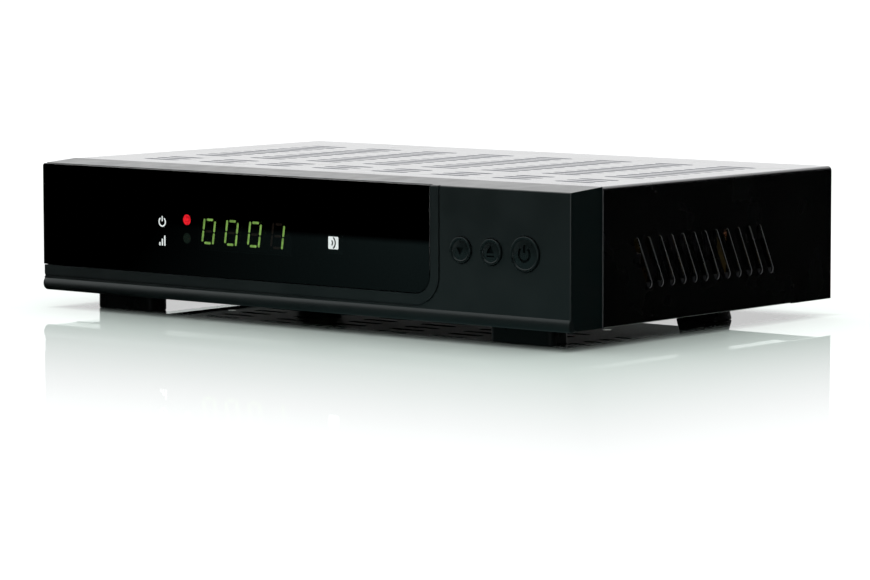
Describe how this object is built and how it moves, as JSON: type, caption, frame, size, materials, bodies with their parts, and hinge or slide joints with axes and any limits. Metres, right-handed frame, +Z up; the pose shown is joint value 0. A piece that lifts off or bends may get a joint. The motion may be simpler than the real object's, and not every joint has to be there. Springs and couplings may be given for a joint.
{
  "type": "satellite receiver",
  "caption": "Low set-top satellite receiver with a vented steel cover, plastic front, smoked display lens, push buttons and rear sockets.",
  "frame": {"origin": "on the surface it stands on, under the middle of the whole object", "axes": "+Z up, front towards -Y, +X to the right seen from the front"},
  "size_m": [0.23, 0.1538, 0.0508],
  "materials": {
    "cover_paint": "satin",
    "rear_paint": "satin",
    "plated_sheet": "satin",
    "bezel_plastic": "fine spark texture",
    "smoked_lens": "polished",
    "button_plastic": "satin",
    "switch_plastic": "moulded",
    "switch_metal": "stamped",
    "circuit_board": "solder resist",
    "power_circuit_board": "paper laminate",
    "module_plastic": "moulded",
    "lit_bar": "lit",
    "unlit_bar": "diffused",
    "red_light": "lit",
    "unlit_light": "diffused",
    "dark_resin": "moulded",
    "foot_rubber": "matt",
    "black_screw": "black oxide",
    "zinc_screw": "zinc plated",
    "insulation_film": "translucent film",
    "tin_can": "tin plated",
    "nickel": "nickel plated",
    "socket_plastic": "moulded",
    "jack_colour": "coloured by jack",
    "chip_resin": "moulded",
    "black_heatsink": "anodised",
    "capacitor_sleeve": "shrunk sleeve",
    "header_plastic": "moulded",
    "ribbon_grey": "flat cable",
    "rocker_plastic": "moulded",
    "fuse_glass": "clear with plated caps",
    "copper_wire": "enamelled wire",
    "capacitor_yellow": "moulded",
    "bare_aluminium": "extruded",
    "ferrite": "ground ferrite",
    "yellow_tape": "polyester tape",
    "wire_sleeve": "insulated wire"
  },
  "bodies": {
    "housing": {"aerial_connectors": "nickel", "base": "plated_sheet", "base_screws": "zinc_screw", "board_capacitors": "capacitor_sleeve", "board_chips": "chip_resin", "board_headers": "header_plastic", "bulk_capacitor": "capacitor_sleeve", "choke_winding": "copper_wire", "connector_nuts": "nickel", "cover_screws": "black_screw", "crystals": "tin_can", "digital_video_socket": "tin_can", "display_lens": "smoked_lens", "display_lit_bars": "lit_bar", "display_module": "module_plastic", "display_unlit_bars": "unlit_bar", "front_bezel": "bezel_plastic", "front_board": "circuit_board", "front_feet": "foot_rubber", "front_screws": "zinc_screw", "fuse": "fuse_glass", "fuse_clips": "nickel", "infrared_receiver": "dark_resin", "insulation_sheet": "insulation_film", "jack_housings": "socket_plastic", "jack_shells": "nickel", "jack_sleeves": "jack_colour", "main_board": "circuit_board", "main_processor": "chip_resin", "mains_capacitor": "capacitor_yellow", "mains_choke": "module_plastic", "mains_inlet": "socket_plastic", "mains_pins": "nickel", "multipole_socket": "socket_plastic", "output_capacitors": "capacitor_sleeve", "power_board": "power_circuit_board", "power_harness": "wire_sleeve", "power_heatsink": "bare_aluminium", "power_light": "red_light", "processor_heatsink": "black_heatsink", "rear_feet": "foot_rubber", "rear_panel": "rear_paint", "ribbon_cable": "ribbon_grey", "signal_light": "unlit_light", "standoffs": "plated_sheet", "switch_frame": "socket_plastic", "switch_leads": "wire_sleeve", "switching_transistor": "chip_resin", "tact_switches": "switch_metal", "top_cover": "cover_paint", "transformer_core": "ferrite", "transformer_winding": "yellow_tape", "tuner_can": "tin_can"},
    "button_down": {"button_down": "button_plastic", "plunger_down": "switch_plastic"},
    "button_up": {"button_up": "button_plastic", "plunger_up": "switch_plastic"},
    "button_power": {"button_power": "button_plastic", "plunger_power": "switch_plastic"},
    "mains_rocker": {"mains_rocker": "rocker_plastic"}
  },
  "joints": [
    {"name": "button_down_press", "type": "slide", "parent": "housing", "child": "button_down", "axis": [0, 1, 0], "range_m": [0, 0.0005], "stiffness_N_per_m": 500},
    {"name": "button_up_press", "type": "slide", "parent": "housing", "child": "button_up", "axis": [0, 1, 0], "range_m": [0, 0.0005], "stiffness_N_per_m": 500},
    {"name": "button_power_press", "type": "slide", "parent": "housing", "child": "button_power", "axis": [0, 1, 0], "range_m": [0, 0.0005], "stiffness_N_per_m": 500},
    {"name": "mains_rocker_tilt", "type": "hinge", "parent": "housing", "child": "mains_rocker", "pos_m": [0.066, 0.0643, 0.0253], "axis": [1, 0, 0], "range_deg": [0, 20]}
  ]
}
